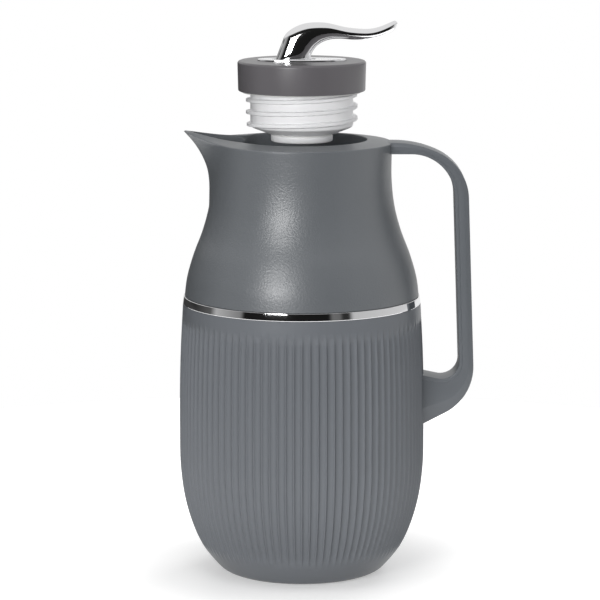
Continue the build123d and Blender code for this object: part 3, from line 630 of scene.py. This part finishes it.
def build_cap():
    """The stopper's cap: round drum, rounded top edge, recess for the plate and slot for the lever."""
    drum = [(CAP_R - 1.4, CAP_Z), (CAP_R - 0.42, CAP_Z, 0.8), (CAP_R, CAP_TOP, CAP_EDGE), (30, CAP_TOP)]
    wall = rounded(drum, steps=8, closed=False)[:-1]
    levels = [(circle_point, r, z) for r, z in wall]
    levels += [(circle_point, r, CAP_TOP) for r in (33.5, 31.5, 29.5, 27.5)]
    levels += [(oval_point, 0.25, CAP_TOP), (oval_point, 0.1, CAP_TOP - 0.12)]
    levels += [(oval_point, 0.05, CAP_TOP - RECESS), (slot_point, 0.05, CAP_TOP - RECESS)]
    levels += [(slot_point, 0.05, CAP_TOP - CEILING)]
    levels += [(circle_point, r, CAP_TOP - CEILING) for r in (28, CAP_R - CAP_WALL - 0.4)]
    levels += [(circle_point, CAP_R - CAP_WALL, z) for z in (CAP_TOP - CEILING - 0.4, CAP_Z + 5, CAP_Z)]
    polar_piece("cap_drum", levels, cap_grey, "stopper", "cap_grey", "stopper_cap")


def build_plate():
    """The raised oval plate with a rounded edge and a rounded slot."""
    foot_z = CAP_TOP - PLATE_FOOT
    levels = [(oval_point, 0.0, foot_z), (oval_point, 0.0, PLATE_TOP - PLATE_ROUND)]
    for a in (15, 30, 45, 60, 75, 90):
        shrink, drop = PLATE_ROUND * (1 - cos(radians(a))), PLATE_ROUND * (1 - sin(radians(a)))
        levels.append((oval_point, -shrink, PLATE_TOP - drop))
    levels += [(oval_point, grow, PLATE_TOP) for grow in (-1.2, -2.0)]
    for a in (90, 60, 30, 0):
        grow, drop = SLOT_ROUND * (1 - cos(radians(a))), SLOT_ROUND * (1 - sin(radians(a)))
        levels.append((slot_point, grow, PLATE_TOP - drop))
    levels += [(slot_point, 0.0, foot_z)]
    polar_piece("oval_plate", levels, chrome, "stopper", "chrome_trim", "escutcheon")


build_cap()
build_plate()

# ---------------------------------------------------------------- threaded plug, seal and valve
PITCH, CREST = 6.8, 2.5           # thread: pitch, and height of the ridge
RIDGE_BASE, RIDGE_TOP = 3.0, 1.5  # widths of the ridge
THREAD_START, THREAD_START_Z = 150, 256.63        # degrees round and height at the thread's lower end
THREAD_TURNS = 2.6
THREAD_IN, THREAD_OUT = 50, 14    # degrees over which the ridge rises at its lower end and dies at its upper
ROOT_R = 29.1                     # radius of the plug's wall
CONE_TOP, WALL_TOP = 257.0, 275.6                 # heights where the wall starts and ends
PLUG_COLUMNS, PLUG_SHARP = 300, 50

OUTLET_WAY = atan2(0.61, -0.79)   # the way the outlet faces: backwards, on the spout's side
OUTLET_Z = 271.5
OUTLET_HALF, OUTLET_R = 8.0, 2.0  # half the straight length of the slot, and the radius of its ends
CUT_FROM, CUT_TO = 24.0, 36.0     # distances from the axis between which the wall is cut
CUT_COLUMNS = 32


def thread_height(angle, z):
    """Height of the ridge over the plug's wall at an angle and a height."""
    best = 0.0
    for turn in range(4):
        swept = (degrees(angle) - THREAD_START) % 360 + 360 * turn
        if swept > THREAD_TURNS * 360:
            continue
        off = abs(z - THREAD_START_Z - PITCH * swept / 360)
        share = min(1.0, max(0.0, (RIDGE_BASE / 2 - off) / ((RIDGE_BASE - RIDGE_TOP) / 2)))
        taper = min(1.0, swept / THREAD_IN, (THREAD_TURNS * 360 - swept) / THREAD_OUT)
        best = max(best, CREST * share * share * (3 - 2 * share) * max(0.0, taper) ** 0.5)
    return best


def build_plug():
    """The plug: a cone down to the valve's port, the threaded wall, and the plate inside the cap."""
    cone = through([(18.6, 252.0), (19.6, 252.2), (24.6, 254.1), (27.6, 255.3), (28.8, 256.1),
                    (ROOT_R, CONE_TOP), (ROOT_R, 258)], 6)[:-7]
    wall = [(ROOT_R, z) for z in np.arange(CONE_TOP, WALL_TOP, 0.2)]
    port = [(14.0, 254.2), (14.0, 252.5), (14.3, 252.05), (14.8, 252.0)]
    plate = [(ROOT_R, 275.95), (34.3, 275.95), (34.3, 278.5), (2.1, 278.5), (2.1, 276.2)]
    bore = [(26.9, 276.2), (26.9, 259.5), (22.5, 255.8)]
    section = [*port, *cone, *wall, *plate, *bore]

    def threaded(angle, r, z):
        if not (254.6 < z < 275.5 and 27 < r < ROOT_R + 0.1):
            return r, z
        ridge = thread_height(angle, z)
        return r + (ROOT_R + ridge - r) * min(1.0, ridge / 0.6), z

    points, faces = rings(section, PLUG_COLUMNS, threaded), grid_faces(len(section), PLUG_COLUMNS)
    piece = make_piece("screw_plug", points, faces, white_plastic, "stopper", "white_plastic",
                       "threaded_plug", "plug_plate", sharp=PLUG_SHARP)
    cut_outlet(piece)


def cut_outlet(piece):
    """Cuts the drink's outlet, a level slot in the plug's wall, with a boolean that is applied."""
    ahead = np.array((cos(OUTLET_WAY), sin(OUTLET_WAY), 0))
    aside = np.array((-sin(OUTLET_WAY), cos(OUTLET_WAY), 0))
    outline = []
    for k in range(CUT_COLUMNS):
        t = 2 * pi * k / CUT_COLUMNS
        end = OUTLET_HALF if cos(t) > 0 else -OUTLET_HALF
        outline.append((OUTLET_R * cos(t) + end, OUTLET_R * sin(t)))
    points = []
    for reach in (CUT_FROM, CUT_TO):
        for across, up in outline:
            points.append(reach * ahead + across * aside + np.array((0, 0, OUTLET_Z + up)))
    faces = grid_faces(2, CUT_COLUMNS, closed_rows=False)
    faces += [tuple(reversed(range(CUT_COLUMNS))), tuple(range(CUT_COLUMNS, 2 * CUT_COLUMNS))]
    mesh = bpy.data.meshes.new("outlet_cutter")
    mesh.from_pydata([tuple(float(c) * MM for c in p) for p in points], [], faces)
    cutter = bpy.data.objects.new("outlet_cutter", mesh)
    SCENE.collection.objects.link(cutter)
    cut = piece.modifiers.new("outlet", "BOOLEAN")
    cut.operation, cut.solver, cut.object = "DIFFERENCE", "EXACT", cutter
    bpy.context.view_layer.update()
    done = bpy.data.meshes.new_from_object(piece.evaluated_get(bpy.context.evaluated_depsgraph_get()))
    piece.modifiers.clear()
    piece.data = done
    bpy.data.objects.remove(cutter)
    done.set_sharp_from_angle(angle=radians(PLUG_SHARP))


build_plug()

SEAL_IN, SEAL_OUT, SEAL_TOP = 32.05, 33.8, 276.9
seal_section = [(SEAL_IN, SEAL_Z, 0.3), (SEAL_OUT, SEAL_Z, 0.35),
                (SEAL_OUT, SEAL_TOP, 0.3), (SEAL_IN, SEAL_TOP, 0.3)]
turned("cap_seal", rounded(seal_section), white_silicone, "seal", "white_seal", "stopper_seal", columns=240)

disc_dimple = [(0.5, DISC_Z + 0.5), (4, DISC_Z + 0.5), (5, DISC_Z)]
disc_edge = rounded([(6, DISC_Z), (DISC_R, DISC_Z, 0.9), (DISC_R, DISC_TOP, 0.5), (2.1, DISC_TOP)],
                    closed=False)
turned_solid("disc", [*disc_dimple, *disc_edge], white_plastic, "valve", "white_plastic", "valve_disc")

# ---------------------------------------------------------------- thumb lever
PIN_X, PIN_Z = -12.0, 288.5       # the pin that it turns on
EYE_R = 2.5                       # round of the web about the pin
NOSE_R, NOSE_MID = 3.0, 289.0     # round of the nose that presses the button, and its centre's height
WEB_HALF = 3.5                    # half the web's thickness
# Along the arm, root to tip: the upper and the lower end of its oval section (x, z, x, z), and its width.
ARM = [(-16.3, 290.0, 5.8, 290.0, 10.0), (-14.1, 295.4, 5.2, 295.6, 10.9), (-11.5, 302.2, 7.6, 300.2, 10.5),
       (-8.6, 308.4, 11.2, 303.1, 10.3), (0.0, 313.4, 16.0, 304.8, 10.2), (12.0, 314.4, 22.0, 305.2, 10.1),
       (25.8, 311.6, 30.0, 304.6, 10.5), (37.5, 310.8, 38.8, 304.9, 10.8), (43.7, 312.0, 44.5, 306.2, 10.3),
       (48.5, 313.9, 49.6, 308.5, 9.4), (51.2, 315.1, 52.7, 311.0, 7.2), (52.5, 315.4, 53.7, 313.4, 4.6),
       (53.3, 315.0, 53.9, 314.0, 1.8)]
OVAL = 2.2                        # squareness of the arm's section; 2 is an ellipse
ARM_COLUMNS = 64


def build_lever():
    """The S-shaped arm, with the web that turns on the pin and presses the button."""
    stations = through(ARM, 8)
    points = []
    for upper_x, upper_z, lower_x, lower_z, width in stations:
        for k in range(ARM_COLUMNS):
            t = 2 * pi * k / ARM_COLUMNS
            down = 0.5 + 0.5 * abs(cos(t)) ** (2 / OVAL) * (1 if cos(t) > 0 else -1)
            side = width / 2 * abs(sin(t)) ** (2 / OVAL) * (1 if sin(t) > 0 else -1)
            points.append((upper_x + (lower_x - upper_x) * down, side, upper_z + (lower_z - upper_z) * down))
    rows = len(stations)
    faces = grid_faces(rows, ARM_COLUMNS, closed_rows=False)
    faces += [tuple(reversed(range(ARM_COLUMNS))), tuple(range((rows - 1) * ARM_COLUMNS, rows * ARM_COLUMNS))]
    first = len(points)
    web = [(PIN_X + EYE_R * cos(radians(a)), PIN_Z + EYE_R * sin(radians(a))) for a in range(100, 271, 17)]
    web += [(NOSE_R * cos(radians(a)), NOSE_MID + NOSE_R * sin(radians(a))) for a in range(270, 361, 15)]
    web += [(2.5, 291.5), (-13.5, 291.5)]
    points += [(x, side, z) for side in (-WEB_HALF, WEB_HALF) for x, z in web]
    faces += grid_faces(2, len(web), closed_rows=False, first=first)
    middle, last = first + len(web), first + 2 * len(web)
    faces += [tuple(range(first, middle)), tuple(reversed(range(middle, last)))]
    make_piece("s_lever", points, faces, lever_chrome, "lever", "chrome_lever", "thumb_lever", sharp=60)


build_lever()

# ---------------------------------------------------------------- CAD pieces that show as they are
SHOWN = {"base_cover": fluted_grey, "liner_spacers": pad_grey, "liner_cushion": black_rubber,
         "neck_gasket": white_silicone, "neck_collar": white_plastic, "handle_screws": steel,
         "stem_seal": white_silicone, "cap_screws": steel, "lever_pin": steel, "valve_stem": steel,
         "stem_button": white_plastic, "valve_gasket": white_silicone, "return_spring": steel}
for node, look in SHOWN.items():
    nodes[node].data.materials.clear()
    nodes[node].data.materials.append(look)

# ---------------------------------------------------------------- floor, light and camera
WHITE = (1, 1, 1, 1)
FLOOR_R, FLOOR_COLUMNS = 0.50, 96
PAINTED_SHADE_GLOW, GLOW_FAR = 0.36, 1.0   # the floor's own glow as it is seen: dimmer by the jug as painted shade round its foot, full white further out
GLOW_R0, GLOW_R1 = 0.03, 0.18     # distances between which it goes from one to the other
EVEN_LIGHT = 0.10                 # strength of the even light from all round
# What bright metal shows of the room: degrees round from the front, towards the handle, and brightness.
ROOM = [(-174, 1.0), (-164, 0.03), (-125, 0.03), (-98, 0.10), (-90, 0.45), (-61, 0.22), (-57, 0.01),
        (26, 0.01), (30, 0.16), (37, 0.14), (40, 0.03), (46, 0.03), (51, 0.55), (122, 0.68),
        (130, 0.15), (148, 0.15), (158, 1.0)]
# The same, below eye level.
LOW_ROOM = [(-172, 0.6), (-164, 0.04), (-100, 0.06), (-88, 0.3), (-64, 0.35), (-57, 0.01),
            (40, 0.01), (50, 0.25), (100, 0.9)]
EYE_LOW, EYE_HIGH = -0.08, -0.01  # heights between which LOW_ROOM gives way to ROOM
OVERHEAD = 0.80                   # brightness of the room above
OVERHEAD_LOW, OVERHEAD_HIGH = 0.32, 0.46          # heights between which it begins
OVERHEAD_LEAN = -0.3              # leans its edge: down at the back, up at the front
CAMERA_PLACE = (-0.001, -1.700, 0.4405)
CAMERA_DOWN = 9.5                 # degrees below level
CAMERA_LENS = 181.0


def show_white(tree, links, shader, white):
    """Gives camera, glossy and transmission rays the white shader, and all others the first one."""
    rays = add_node(tree, "ShaderNodeLightPath")
    seen = add_node(tree, "ShaderNodeMath", operation="MAXIMUM")
    links.new(rays.outputs["Is Camera Ray"], seen.inputs[0])
    links.new(rays.outputs["Is Glossy Ray"], seen.inputs[1])
    seen_all = add_node(tree, "ShaderNodeMath", operation="MAXIMUM")
    links.new(seen.outputs[0], seen_all.inputs[0])
    links.new(rays.outputs["Is Transmission Ray"], seen_all.inputs[1])
    mix = add_node(tree, "ShaderNodeMixShader")
    links.new(seen_all.outputs[0], mix.inputs[0])
    links.new(shader, mix.inputs[1])
    links.new(white, mix.inputs[2])
    return mix.outputs[0]


def ramp(tree, links, source, start, end, to_start=0.0, to_end=1.0):
    """A smooth step of a value from start to end."""
    step = add_node(tree, "ShaderNodeMapRange", interpolation_type="SMOOTHSTEP", From_Min=start, From_Max=end,
                    To_Min=to_start, To_Max=to_end)
    links.new(source, step.inputs["Value"])
    return step.outputs["Result"]


def brightness_round(tree, links, turn, stops):
    """A value that follows stops of (degrees round, brightness)."""
    band = add_node(tree, "ShaderNodeValToRGB")
    ramp_stops = band.color_ramp.elements
    ramp_stops[0].position, ramp_stops[1].position = [0.5 + stops[k][0] / 360 for k in (0, -1)]
    for degrees_round, _ in stops[1:-1]:
        ramp_stops.new(0.5 + degrees_round / 360)
    for stop, (_, level) in zip(ramp_stops, stops):
        stop.color = (level, level, level, 1)
    links.new(turn, band.inputs["Fac"])
    return band.outputs["Color"]


def blend(tree, links, share, first, second):
    """Goes from the first value to the second as share rises from 0 to 1."""
    mix = add_node(tree, "ShaderNodeMix", data_type="FLOAT")
    links.new(share, mix.inputs[0])
    for value, socket in ((first, mix.inputs[2]), (second, mix.inputs[3])):
        if isinstance(value, float):
            socket.default_value = value
        else:
            links.new(value, socket)
    return mix.outputs[0]


def build_world():
    """A dim even light for the object, a white room for the camera, and a room with a dark front in metal."""
    world = bpy.data.worlds.new("studio")
    SCENE.world = world
    world.use_nodes = True
    tree, links = world.node_tree.nodes, world.node_tree.links
    even = tree["Background"]
    even.inputs["Color"].default_value = WHITE
    even.inputs["Strength"].default_value = EVEN_LIGHT
    way = add_node(tree, "ShaderNodeSeparateXYZ")
    links.new(add_node(tree, "ShaderNodeTexCoord").outputs["Generated"], way.inputs[0])
    ahead = add_node(tree, "ShaderNodeMath", operation="MULTIPLY")
    links.new(way.outputs["Y"], ahead.inputs[0])
    ahead.inputs[1].default_value = -1.0
    turn = add_node(tree, "ShaderNodeMath", operation="ARCTAN2")
    links.new(way.outputs["X"], turn.inputs[0])
    links.new(ahead.outputs[0], turn.inputs[1])
    share = add_node(tree, "ShaderNodeMapRange", From_Min=-pi, From_Max=pi)
    links.new(turn.outputs[0], share.inputs["Value"])
    level = blend(tree, links, ramp(tree, links, way.outputs["Z"], EYE_LOW, EYE_HIGH),
                  brightness_round(tree, links, share.outputs["Result"], LOW_ROOM),
                  brightness_round(tree, links, share.outputs["Result"], ROOM))
    height = add_node(tree, "ShaderNodeMath", operation="MULTIPLY_ADD")
    links.new(ahead.outputs[0], height.inputs[0])
    height.inputs[1].default_value = OVERHEAD_LEAN
    links.new(way.outputs["Z"], height.inputs[2])
    above = ramp(tree, links, height.outputs[0], OVERHEAD_LOW, OVERHEAD_HIGH)
    level = blend(tree, links, above, level, OVERHEAD)
    glossy = add_node(tree, "ShaderNodeLightPath").outputs["Is Glossy Ray"]
    white = add_node(tree, "ShaderNodeBackground")
    white.inputs["Color"].default_value = WHITE
    links.new(blend(tree, links, glossy, 1.0, level), white.inputs["Strength"])
    seen = show_white(tree, links, even.outputs[0], white.outputs[0])
    links.new(seen, tree["World Output"].inputs["Surface"])


def build_floor():
    """A round pale floor that fades into the white room; the jug's shadow stays on it, deepened by painted
    shade where the floor's glow is dimmer round the foot.
    """
    turns = [2 * pi * k / FLOOR_COLUMNS for k in range(FLOOR_COLUMNS)]
    points = [(FLOOR_R * cos(a), FLOOR_R * sin(a), 0) for a in turns]
    mesh = bpy.data.meshes.new("floor")
    mesh.from_pydata(points, [], [tuple(range(FLOOR_COLUMNS))])
    floor = bpy.data.objects.new("floor", mesh)
    SCENE.collection.objects.link(floor)
    look, tree, links, shader = new_material("floor")
    shader.inputs["Base Color"].default_value = (0.65, 0.65, 0.65, 1)
    shader.inputs["Roughness"].default_value = 0.5
    shader.inputs["Specular IOR Level"].default_value = 0.2
    place = add_node(tree, "ShaderNodeTexCoord")
    away = add_node(tree, "ShaderNodeVectorMath", operation="LENGTH")
    links.new(place.outputs["Object"], away.inputs[0])
    glow = add_node(tree, "ShaderNodeEmission")
    # the glow is dimmer near the jug, painting shade round its foot, and rises to white further out
    strength = ramp(tree, links, away.outputs["Value"], GLOW_R0, GLOW_R1, PAINTED_SHADE_GLOW, GLOW_FAR)
    links.new(strength, glow.inputs["Strength"])
    both = add_node(tree, "ShaderNodeAddShader")
    links.new(shader.outputs[0], both.inputs[0])
    links.new(glow.outputs[0], both.inputs[1])
    seen = show_white(tree, links, shader.outputs[0], both.outputs[0])
    links.new(seen, tree["Material Output"].inputs["Surface"])
    mesh.materials.append(look)


def lamp(name, place, aim, size, power, tall=None, mirrored=False):
    """A soft rectangular lamp that looks at aim; a mirrored one also shows in bright metal."""
    data = bpy.data.lights.new(name, "AREA")
    data.shape, data.size, data.size_y, data.energy = "RECTANGLE", size, tall or size, power
    made = bpy.data.objects.new(name, data)
    made.location = place
    made.rotation_mode = "QUATERNION"
    made.rotation_quaternion = (Vector(aim) - Vector(place)).to_track_quat("-Z", "Y")
    made.visible_camera, made.visible_glossy = False, mirrored
    SCENE.collection.objects.link(made)


def build_camera():
    """A long lens at the viewing angle of a product shot."""
    data = bpy.data.cameras.new("camera")
    data.lens, data.sensor_width, data.clip_end = CAMERA_LENS, 36.0, 50.0
    camera = bpy.data.objects.new("camera", data)
    camera.location = CAMERA_PLACE
    camera.rotation_euler = (radians(90 - CAMERA_DOWN), 0, 0)
    SCENE.collection.objects.link(camera)
    SCENE.camera = camera


build_world()
build_floor()
lamp("key", (-0.54, -1.18, 0.54), (0, 0, 0.20), 0.50, 7.5, tall=0.28, mirrored=True)
lamp("front", (-0.02, -1.50, 0.24), (0, 0, 0.20), 0.30, 7.8)
lamp("edge", (1.20, 0.10, 0.50), (0, 0, 0.18), 0.30, 3.5, tall=1.0)
lamp("top", (-0.20, -0.40, 1.30), (0, 0, 0.20), 0.50, 3.5)
lamp("rear", (0.65, 1.15, 0.65), (0, 0, 0.15), 0.60, 8.0)
build_camera()
SCENE.view_settings.view_transform = "Standard"
